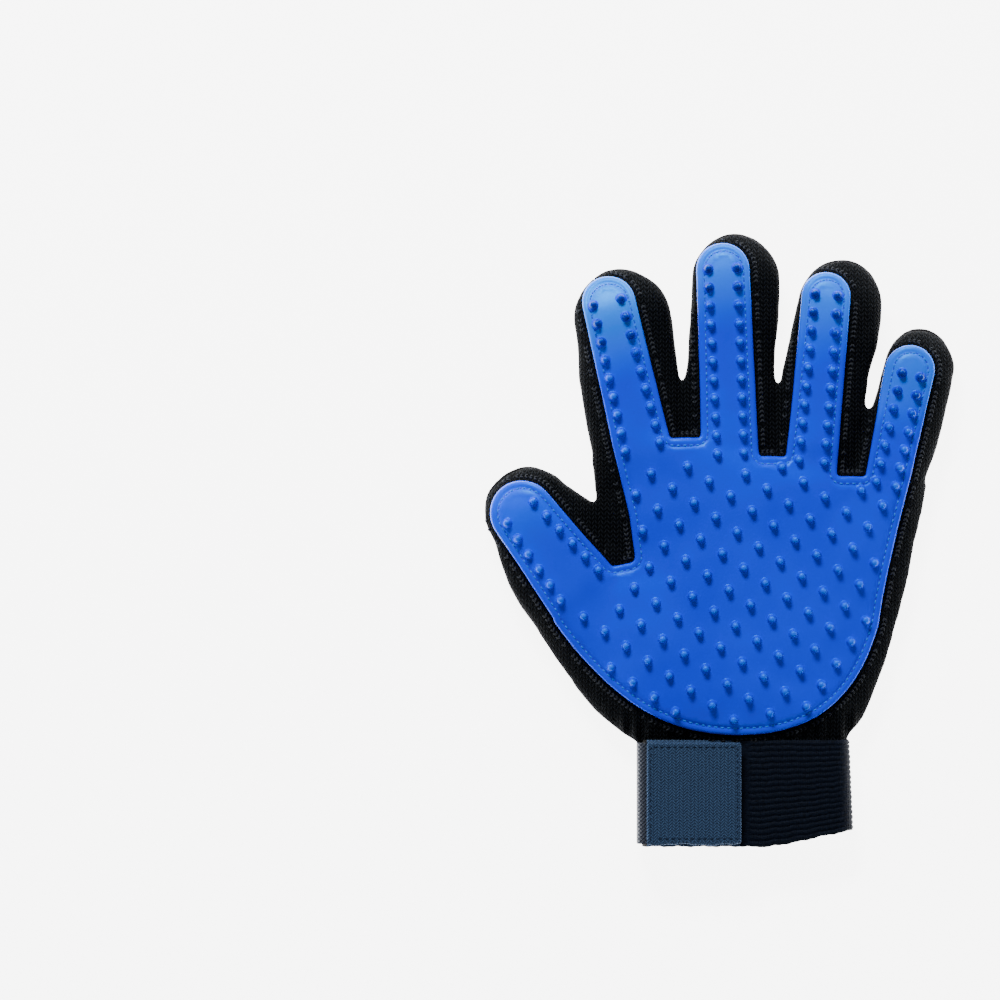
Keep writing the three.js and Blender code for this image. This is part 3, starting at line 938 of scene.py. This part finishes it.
def chains_of(edges):
    """Runs of connected edges as lists of vertices."""
    links = {}
    for a, b in edges:
        links.setdefault(a, []).append(b)
        links.setdefault(b, []).append(a)
    left, chains = dict.fromkeys(links), []
    while left:
        ends = [v for v in left if len(links[v]) == 1]
        at = ends[0] if ends else next(iter(left))
        chain = []
        while at is not None:
            chain.append(at)
            del left[at]
            at = next((v for v in links[at] if v in left), None)
        if not ends and len(chain) > 2:
            chain.append(chain[0])
        chains.append(chain)
    return chains


def bead(points, normals, radius, sides=6):
    """A round bead along a line of points: its vertices and faces."""
    verts = []
    for i, point in enumerate(points):
        along = unit(points[min(i + 1, len(points) - 1)] - points[max(i - 1, 0)])
        up = unit(normals[i] - along * (normals[i] @ along))
        over = np.cross(along, up)
        verts += [point + radius * (c * up + s * over) for c, s in circle(sides)]
    return verts, ring_faces(len(points), sides, turned=True)


def seam_beads(bm):
    """The bound seam between the knit front and the mesh back."""
    edges, bags = {}, {}
    for edge in bm.edges:
        if all(abs(v.co.z / MM - BACK_SEAM) < 0.01 for v in edge.verts):
            middle = (edge.verts[0].co + edge.verts[1].co) / 2
            edges.setdefault(shell_region(middle), []).append(tuple(edge.verts))
    for region, pairs in edges.items():
        for chain in chains_of(pairs):
            points = np.array([tuple(v.co) for v in chain])
            if np.linalg.norm(np.diff(points, axis=0), axis=1).sum() < SHORT_SEAM * MM:
                continue
            out = np.array([tuple(v.normal) for v in chain])
            made = bead(points + out * SEAM_STANDS * MM, out, SEAM_RADIUS * MM)
            join(*bags.setdefault(region, ([], [])), *made)
    finish_regions(bags, "seam", SEAM_THREAD, "knit")


# Radius and half height of the pad, and its place past the web's root.
WEB_LINING, LINING_PLACE = (8.5, 3.6), 1.0


def build_web_lining():
    """A pad of the palm's knit inside the shell, which closes the root of the thumb's web."""
    root, _, along, _ = WEB_FRAMES["thumb"]
    middle = root + along * LINING_PLACE * MM
    heights, sides = (-0.98, -0.8, -0.45, 0.0, 0.45, 0.8, 0.98), 24
    verts = []
    for height in heights:
        reach, z = math.sqrt(1 - height**2) * WEB_LINING[0] * MM, (SHELL_MID + WEB_LINING[1] * height) * MM
        verts += [(middle.x + reach * c, middle.y + reach * s, z) for c, s in circle(sides)]
    obj = finish_piece("thumb_web_lining", verts, ring_faces(len(heights), sides), None, KNIT, "knit", [])
    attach(obj, "palm")


# ---- Nubs and the rubber's pieces ----
# Radius and height of a nub from its flared foot to its rounded tip.
NUB = [(2.35, -0.12), (1.95, 0.05), (1.68, 0.28), (1.54, 0.7), (1.46, 1.2), (1.37, 1.75), (1.2, 2.2),
       (0.92, 2.56), (0.5, 2.8), (0.0, 2.88)]
NUB_SIDES = 16
# How much a nub leans towards straight up, and how far from its middle its CAD top reaches.
NUB_UPRIGHT, NUB_TOP = 0.25, 1.8
# Painted highlight: how much paler each fingertip's rubber is painted, for the light reflected off the
# drooping tip, and the length over which that fades.
PAINTED_TIP_HIGHLIGHTS = {"thumb": (0.16, 18.0), "index": (0.95, 32.0), "middle": (0.6, 26.0), "ring": (0.68, 28.0),
             "little": (0.62, 30.0)}
PAINTED_TIP_WIDTH = 16
# Height up a nub against its painted side shade, the painted shade over a nub on a pale tip, and the
# painted highlight on its top.
SIDE_SHADE = ((0.1, 0.8, 2.0, 2.7), (0.0, 0.4, 0.12, 0.0))
PALE_SHADE, PAINTED_TOP_HIGHLIGHT = ((0.1, 0.5), (0.0, 0.85)), ((1.7, 2.6), (0.0, 0.45))


def painted_tip_highlight(point):
    """How strongly the painted fingertip highlight is laid on at a point, from 0 to 1."""
    for name, (share, fade) in PAINTED_TIP_HIGHLIGHTS.items():
        x, y = FINGER[name].to_finger((point[0] / MM, point[1] / MM))
        start = FINGER[name].end[2] - fade
        if start < y and abs(x) < PAINTED_TIP_WIDTH:
            return share * smooth((y - start) / fade)
    return 0.0


def nub_places():
    """Where the CAD's nubs stand, from the flat tops of its rubber pieces."""
    places = []
    for name, node in frame["nodes"].items():
        if not name.endswith("_panel") or name == "cuff_loop_panel":
            continue
        co = read_points(node.data) / MM
        top = co[co[:, 2] > co[:, 2].max() - 0.05]
        left = list(range(len(top)))
        while left:
            seed = top[left[0]]
            group = [i for i in left if np.hypot(*(top[i][:2] - seed[:2])) < NUB_TOP]
            places.append(top[group][:, :2].mean(axis=0))
            left = [i for i in left if i not in group]
    return places


def add_nubs(pieces, tree):
    """Stands each nub on the rubber, along its surface normal."""
    rings = len(NUB) - 1
    last = (rings - 1) * NUB_SIDES
    faces = ring_faces(rings, NUB_SIDES, capped=False)
    faces += [[last + k, last + (k + 1) % NUB_SIDES, rings * NUB_SIDES] for k in range(NUB_SIDES)]
    for place in nub_places():
        hit, normal = drop_on(tree, place)
        if hit is None:
            continue
        verts, normals, polys, painted_shades, painted_highlights = pieces[region_of(Vector(hit))]
        pale = min(1.0, 2.0 * painted_tip_highlight(hit))
        up = np.array(Vector(normal).lerp(Vector((0, 0, 1)), NUB_UPRIGHT).normalized())
        side = unit(np.cross(up, (0.0, 1.0, 0.0)))
        other = np.cross(up, side)
        made = []
        for i, (radius, height) in enumerate(NUB):
            before, after = NUB[max(i - 1, 0)], NUB[min(i + 1, rings)]
            slope = unit(np.array([after[1] - before[1], before[0] - after[0]]))
            shade, pale_shade, painted_highlight = (float(np.interp(height, *curve))
                                       for curve in (SIDE_SHADE, PALE_SHADE, PAINTED_TOP_HIGHLIGHT))
            for c, s in circle(NUB_SIDES)[:NUB_SIDES if radius else 1]:
                out = c * side + s * other
                made.append(Vector(hit + (out * radius + up * height) * MM))
                normals.append(Vector(out * slope[0] + up * slope[1] if radius else up))
                # Painted shade on the nub's side, stronger on a pale tip, and a painted highlight on its
                # top away from the tips.
                painted_shades.append(max(shade, pale * pale_shade))
                painted_highlights.append((1 - pale) * painted_highlight)
        join(verts, polys, made, faces)


def build_panel(shell):
    """The rubber's pieces with their nubs; returns the plain rubber for casting rays, and its outline."""
    top, faces, outline = panel_surface(shell)
    bm = bmesh.new()
    made = [bm.verts.new(Vector(point * MM)) for point in top]
    for corners in {frozenset(face): face for face in faces if len(set(face)) == len(face)}.values():
        bm.faces.new([made[i] for i in corners])
    bmesh.ops.recalc_face_normals(bm, faces=bm.faces)
    bm.normal_update()
    if sum(f.normal.z for f in bm.faces) < 0:
        bmesh.ops.reverse_faces(bm, faces=bm.faces)
    cut_at_bends(bm)
    pieces = split_regions(bm, lambda face: region_of(face.calc_center_median()))
    # Each rubber point starts with no painted shade, and with the painted fingertip highlight.
    pieces = {region: (*piece, [0.0] * len(piece[0]), [painted_tip_highlight(v) for v in piece[0]])
              for region, piece in pieces.items()}
    tree = BVHTree.FromBMesh(bm)
    bm.free()
    add_nubs(pieces, tree)
    for region, (verts, normals, polys, painted_shades, painted_highlights) in pieces.items():
        obj = finish_piece(f"{region}_rubber", verts, polys, normals, RUBBER_BLUE, "rubber",
                           nodes_of(region, ("panel",)))
        # The painted shade and the painted highlight go to the rubber's material as attributes.
        for name, values in (("painted_shade", painted_shades), ("painted_highlight", painted_highlights)):
            obj.data.attributes.new(name, "FLOAT", "POINT").data.foreach_set("value", values)
        follow(obj, region)
    return tree, outline


SHELL_TREE = build_shell()
build_web_lining()
PANEL_TREE, OUTLINE = build_panel(SHELL_TREE)


# ---- Stitches along the rubber's edge, and knit loops beside it ----
STITCH_INSET, STITCH_PITCH = 2.3, 2.4
# Length along the row, and radius, of the thread that shows between two needle holes.
THREAD_LENGTH, THREAD_RADIUS = 1.5, 0.25
HOLE_RADIUS, HOLE_LIFT, HOLE_SIDES = 0.42, 0.04, 8
LOOP_OFFSET, LOOP_PITCH, LOOP_LENGTH, LOOP_RADIUS, LOOP_SPREAD = 2.3, 1.75, 1.75, 0.3, 0.42
# Share of the loops that are pulled down out of sight; how far the rest turn, and how long they are.
LOOSE_LOOPS, LOOP_TURN, LOOP_REACH, LOOP_SEED = 0.22, 0.16, (0.75, 1.1), 7
# A loop shows only on fabric this high, in metres, that faces up at least this much.
LOOP_LOWEST, LOOP_FACING = 0.006, 0.35


def capsule(middle, along, up, length, radius):
    """A sunk thread: a row of rings that swell from one needle hole to the next."""
    over = np.cross(along, up)
    verts = []
    sides, stations = 6, (-1.0, -0.72, -0.3, 0.3, 0.72, 1.0)
    for s in stations:
        reach = radius * math.sqrt(max(1 - abs(s) ** 3.0, 0.02))
        sag = radius * (0.35 - 1.0 * abs(s) ** 3)
        verts += [middle + (along * s * length / 2 + (c * up + d * over * 1.25) * reach + up * sag) * MM
                  for c, d in circle(sides)]
    return verts, ring_faces(len(stations), sides, turned=True)


def disc(middle, along, up, radius):
    """A needle hole: a small oval on the surface, dark with painted shade that stands in for the hole's
    depth.
    """
    over = np.cross(along, up)
    ring = [middle + (c * along * 1.15 + s * over * 0.9) * radius * MM + up * HOLE_LIFT * MM
            for c, s in circle(HOLE_SIDES)]
    return ring, [list(range(HOLE_SIDES))]


def heading(row, i, normal):
    """The direction of a closed row of plan points at point i, laid on the surface."""
    along = np.array([*(row[(i + 1) % len(row)] - row[i - 1]), 0.0])
    return unit(along - normal * (along @ normal))


def build_stitches(tree, outline):
    """Threads and needle holes by turns, a fixed inset from the rubber's edge."""
    row = resample(outline + right_normals(outline) * STITCH_INSET, STITCH_PITCH / 4)
    threads, holes = {}, {}
    for i in range(0, len(row) - 3, 4):
        for bag, j in ((threads, i), (holes, i + 2)):
            point, normal = drop_on(tree, row[j])
            if point is None:
                continue
            along = heading(row, j, normal)
            made = (capsule(point, along, normal, THREAD_LENGTH, THREAD_RADIUS) if bag is threads
                    else disc(point, along, normal, HOLE_RADIUS))
            join(*bag.setdefault(region_of(Vector(point)), ([], [])), *made)
    finish_regions(threads, "stitches", THREAD, "rubber")
    finish_regions(holes, "needle_holes", PAINTED_HOLE_SHADE, "rubber")


def build_edge_loops(tree, outline):
    """A row of V loops in the black knit follows the rubber's edge, where the knit is stitched to it."""
    row = resample(outline - right_normals(outline) * LOOP_OFFSET, LOOP_PITCH / 2)
    bags = {}
    worn = np.random.default_rng(LOOP_SEED)
    for i in range(0, len(row) - 1, 2):
        pulled, turn, reach = worn.random(), worn.normal(0, LOOP_TURN), worn.uniform(*LOOP_REACH)
        point, normal = drop_on(tree, row[i])
        if point is None or point[2] < LOOP_LOWEST or normal[2] < LOOP_FACING or pulled < LOOSE_LOOPS:
            continue
        along = heading(row, i, normal)
        over = np.cross(normal, along)
        for side in (-1, 1):
            slant = unit(along * 0.82 + over * (0.57 * side + turn))
            middle = point + over * side * LOOP_SPREAD * MM
            made = capsule(middle, slant, normal, LOOP_LENGTH * reach, LOOP_RADIUS)
            join(*bags.setdefault(shell_region(Vector(point)), ([], [])), *made)
    finish_regions(bags, "edge_loops", LOOP_THREAD, "knit")


build_stitches(PANEL_TREE, OUTLINE)


# ---- Cuff ----
CUFF_OUTER_BACK, CUFF_OUTER_FRONT, CUFF_THICK = 1.5, 12.5, 1.3
CUFF_MID = (CUFF_OUTER_BACK + CUFF_OUTER_FRONT) / 2
CUFF_INNER_LEFT = -29.2
CUFF_STEP = 0.7
RIBS, RIB_HEIGHT, ROWS_PER_RIB = 18, 0.42, 9
# Width of the flat strip of elastic beside the tab, and of the rise from it to the ribs.
FLAT_STRIP, FLAT_RISE = 2.4, 1.6
END_POINTS = 14


def cuff_path():
    """The cuff's flattened ring in section, anticlockwise from the right end's back, as (x, z)."""
    middle, half = (CUFF_INNER_LEFT + CUFF_RIGHT) / 2, (CUFF_RIGHT - CUFF_INNER_LEFT) / 2
    z_half = (CUFF_OUTER_FRONT - CUFF_OUTER_BACK) / 2
    round_end = z_half * 0.95
    flat = half - round_end
    runs = max(int(2 * flat / CUFF_STEP), 2)
    points = []
    for sign, z in ((1, CUFF_OUTER_FRONT), (-1, CUFF_OUTER_BACK)):
        for angle in np.linspace(-math.pi / 2, math.pi / 2, END_POINTS):
            points.append((middle + sign * (flat + round_end * math.cos(angle)),
                           CUFF_MID + sign * z_half * math.sin(angle)))
        points += [(middle + sign * (flat - 2 * flat * i / runs), z) for i in range(1, runs)]
    return np.array(points)


def hem_height(x):
    """The cuff's lower edge: level under the tab, then rising to the little finger's side."""
    rise = np.interp(x, (TAB_RIGHT, 17.0, 27.0, 38.0, CUFF_RIGHT), (0.25, 0.0, 1.6, 4.2, HEM_RISE))
    return max(rise + 0.16 * math.sin(x * 0.71) + 0.1 * math.sin(x * 1.9 + 0.6), 0.0)


def flare(x, v):
    """The cuff's free side widens a little towards its hem."""
    return 1.5 * np.clip((x - TAB_RIGHT) / (CUFF_RIGHT - TAB_RIGHT), 0, 1) ** 2 * (1 - v)


def sheet_band(points, normals, rows, relief):
    """A thick band along section points. Its rows run up the cuff outside, where relief(v, x) lifts them,
    and back down inside."""
    verts = []
    for (x, z), (nx, nz) in zip(points, normals):
        low, high = hem_height(x) + ORIGIN[1], CUFF_TOP + ORIGIN[1]
        for v, lift in [*((v, relief(v, x)) for v in rows), *((v, -CUFF_THICK) for v in reversed(rows))]:
            verts.append((x + flare(x, v) + ORIGIN[0] + nx * lift, low + (high - low) * v, z + nz * lift))
    return np.array(verts) * MM, ring_faces(len(points), 2 * len(rows), capped=False, turned=True)


def rib_relief(v, x):
    """Rounded ribs that run round the cuff, with fine upright gathers, and a flat strip beside the tab."""
    edge = min(v, 1 - v) * RIBS
    if edge < 0.35:
        return 0.25 * edge / 0.35
    wave = v * RIBS + 0.10 * math.sin(x * 0.21) + 0.05 * math.sin(x * 0.83 + v * 9)
    crest = abs(math.sin(math.pi * wave)) ** 0.7
    ribbed = smooth((x - TAB_RIGHT - FLAT_STRIP) / FLAT_RISE)
    return ribbed * (RIB_HEIGHT * crest + 0.05 * math.sin(x * 3.7 + 1.7 * math.floor(wave)))


def flat_relief(v, _):
    return 0.12 * math.sin(min(v, 1 - v, 0.05) / 0.05 * math.pi / 2)


def build_cuff():
    """Four bands round the wrist: the knit side, the ribbed elastic, the loop lining and the mesh back."""
    path = cuff_path()
    normals, count = right_normals(path), len(path)
    side_start = 3
    side_end = next(i for i in range(count) if path[i][1] > CUFF_MID - 1.0)
    elastic_end = next(i for i in range(side_end, count) if path[i][0] < TAB_RIGHT)
    loop_end = next(i for i in range(elastic_end, count) if path[i][0] < CUFF_LEFT + 4)
    fine, coarse = np.linspace(0, 1, RIBS * ROWS_PER_RIB + 1), np.linspace(0, 1, 25)
    pieces = {
        "cuff_side_strip": (side_start, side_end, coarse, flat_relief, KNIT, "knit", "cuff_side"),
        "cuff_elastic_ribs": (side_end, elastic_end, fine, rib_relief, ELASTIC, "elastic", "cuff_elastic"),
        "cuff_loop_lining": (elastic_end, loop_end, coarse, flat_relief, LOOP, "loop", "cuff_loop_panel"),
        "cuff_mesh_back": (loop_end, count + side_start, coarse, flat_relief, MESH, "mesh", "cuff_back"),
    }
    for name, (start, end, rows, relief, material, slot, node) in pieces.items():
        indices = [i % count for i in range(start, end + 1)]
        verts, faces = sheet_band(path[indices], normals[indices], rows, relief)
        obj = finish_piece(name, verts, faces, None, material, slot, [node])
        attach(obj, "palm")


build_cuff()


# ---- Strap and tab ----
STRAP_LOW, STRAP_HIGH, STRAP_THICK = 1.2, 39.5, 1.2
TAB_LEFT, PILE_LEFT, PILE_TOP = -30.2, -27.6, 16.8
# Left and right end, low and high edge, bottom and top, and corner radius of each flat piece.
STRIPS = {
    "strap_back_band": ((-31.0, CUFF_RIGHT - 0.2, 6.7, STRAP_HIGH, 0.0, STRAP_THICK), 1.2),
    "tab_hooks": ((-15.15, 6.9, 2.2, 38.5, 12.85, 13.9), 2.0),
    "tab_core": ((TAB_LEFT + 0.3, TAB_RIGHT - 0.3, STRAP_LOW + 0.3, STRAP_HIGH - 0.3, 13.95, 15.35), 1.5),
    "tab_pile": ((PILE_LEFT, TAB_RIGHT, STRAP_LOW, STRAP_HIGH, 15.35, PILE_TOP), 1.0),
}
STRIP_STEP = 1.0
TAB_STITCH, TAB_THREAD_LENGTH = 2.4, 1.7


def soft_box(box, corner, edge_shape=None):
    """A flat sheet with rounded corners and edges; edge_shape(x, y) nudges its outline."""
    x0, x1, y0, y1, z0, z1 = box
    outline = round_path([(np.array(p, float), corner) for p in ((x0, y0), (x0, y1), (x1, y1), (x1, y0))])
    outline = resample(outline, STRIP_STEP)
    if edge_shape:
        outline = outline + np.array([edge_shape(*p) for p in outline])
    normals, half = right_normals(outline), (z1 - z0) / 2
    verts = []
    angles = np.linspace(-math.pi / 2, math.pi / 2, 7)
    for angle in angles:
        inset, z = half * 0.9 * (1 - math.cos(angle)), (z0 + z1) / 2 + half * math.sin(angle)
        verts += [plan_vector(on_glove(point), z) for point in outline + normals * inset]
    return verts, ring_faces(len(angles), len(outline), turned=True)


def flat_normals(obj):
    """Flat faces stay flat and rounded edges smooth."""
    bm = bmesh.new()
    bm.from_mesh(obj.data)
    for edge in bm.edges:
        if len(edge.link_faces) == 2 and edge.calc_face_angle(0) > math.radians(40):
            edge.smooth = False
    for face in bm.faces:
        if len(face.verts) > 8:
            face.smooth = False
    bm.to_mesh(obj.data)
    bm.free()


def add_strip(name, material, slot, cad_node, body, edge_shape=None):
    verts, faces = soft_box(*STRIPS[name], edge_shape)
    obj = finish_piece(name, verts, faces, None, material, slot, [cad_node])
    flat_normals(obj)
    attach(obj, body)


def tab_edge(x, y):
    """The tab's lower edge waves a little where its binding is turned under."""
    low = y < STRAP_LOW + 4
    return (0.0, 0.28 * math.sin(x * 0.33) + 0.15 * math.sin(x * 0.9 + 1)) if low else (0.0, 0.0)


def build_fold():
    """The strap turns round the thumb's side from the back of the wrist to the tab."""
    path = np.vstack([bezier((-24.0, 0.6), (-28.0, 0.6), (-30.6, 0.9), (-30.6, 5.5), 12)[:-1],
                      bezier((-30.6, 5.5), (-30.6, 7.0), (-30.6, 8.5), (-30.6, 10.0), 5)[:-1],
                      bezier((-30.6, 10.0), (-30.6, 13.6), (-30.4, 15.0), (-27.4, 15.1), 12)])
    along = np.gradient(path, axis=0)
    along /= np.linalg.norm(along, axis=1)[:, None]
    out = np.column_stack([-along[:, 1], along[:, 0]])
    ys = np.linspace(STRAP_LOW + 0.2, STRAP_HIGH - 0.2, 22)
    verts = []
    for p, n in zip(path, out * STRAP_THICK / 2):
        for (x, z), row in ((p + n, ys), (p - n, ys[::-1])):
            verts += [plan_vector(on_glove((x, y)), max(z, 0.02)) for y in row]
    faces = ring_faces(len(path), 2 * len(ys), turned=True)
    obj = finish_piece("strap_turn", verts, faces, None, WEBBING, "webbing", ["strap_fold"])
    flat_normals(obj)
    place = on_glove((-32.4, 20.0))
    start, end = plan_vector(place, 3.0), plan_vector(place, 14.3)
    tuple(start)
    tuple(end)
    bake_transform(obj)


def build_tab_stitches():
    """A row of stitching holds the pile to the tab's webbing."""
    verts, faces = [], []
    low, high, left, right = STRAP_LOW + 2.4, STRAP_HIGH - 1.6, PILE_LEFT + 1.4, TAB_RIGHT - 1.5
    corners = ((left, low), (left, high), (right, high), (right, low))
    row = resample(np.array([on_glove(corner) for corner in corners]), TAB_STITCH / 2)
    for i in range(0, len(row) - 1, 2):
        along = unit(np.array([*(row[(i + 1) % len(row)] - row[i]), 0.0]))
        middle = np.array([*row[i], PILE_TOP + 0.06]) * MM
        join(verts, faces, *capsule(middle, along, np.array([0.0, 0.0, 1.0]), TAB_THREAD_LENGTH, 0.2))
    obj = finish_piece("tab_stitches", verts, faces, None, TAB_THREAD, "loop", [])
    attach(obj, "strap_tab")


add_strip("strap_back_band", WEBBING, "webbing", "strap_band", "palm")
build_fold()
add_strip("tab_hooks", HOOK, "hook", "tab_hook_patch", "strap_tab")
add_strip("tab_core", WEBBING, "webbing", "tab_webbing", "strap_tab")
add_strip("tab_pile", LOOP, "loop", "tab_loop_facing", "strap_tab", tab_edge)
build_edge_loops(SHELL_TREE, OUTLINE)
build_tab_stitches()


# ---- Floor, light and camera ----
FLOOR_SIZE, FLOOR_GAP = 6.0, 0.0002
CAMERA_PLACE, CAMERA_LENS, SENSOR_WIDTH = (-0.0828, 0.0154, 2.10), 200, 36
WORLD_LIGHT = 0.2
# Place, width and length in metres, and power in watts, of each soft light; all point at the glove.
LIGHTS = {"key": ((-0.35, 1.3, 0.95), (0.6, 0.3), 38), "fill": ((0.5, -1.0, 1.0), (1.2, 0.8), 2.5)}


def build_floor():
    """A floor that gives off light, so that it shows nearly white."""
    bpy.ops.mesh.primitive_plane_add(size=FLOOR_SIZE, location=(0, 0, CAD_BOX[0][2] - FLOOR_GAP))
    floor = bpy.context.object
    floor.name = "floor"
    nodes = Nodes("pale_floor", (0.93, 0.93, 0.93), 0.9, Specular_IOR_Level=0.1,
                  Emission_Color=(1, 1, 1, 1), Emission_Strength=6.5)
    floor.data.materials.append(nodes.material)


def build_lights():
    world = bpy.data.worlds.new("studio")
    world.use_nodes = True
    background = world.node_tree.nodes["Background"]
    background.inputs["Color"].default_value = (1, 1, 1, 1)
    background.inputs["Strength"].default_value = WORLD_LIGHT
    bpy.context.scene.world = world
    for name, (place, size, power) in LIGHTS.items():
        light = bpy.data.lights.new(name, "AREA")
        light.shape = "RECTANGLE"
        light.size, light.size_y = size
        light.energy = power
        obj = add_object(name, light)
        obj.location = place
        obj.rotation_euler = (-Vector(place)).to_track_quat("-Z", "Y").to_euler()


def build_camera():
    """Looks straight down at the glove."""
    camera = bpy.data.cameras.new("camera")
    camera.lens, camera.sensor_width = CAMERA_LENS, SENSOR_WIDTH
    obj = add_object("camera", camera)
    obj.location = CAMERA_PLACE
    bpy.context.scene.camera = obj


build_floor()
build_camera()
build_lights()
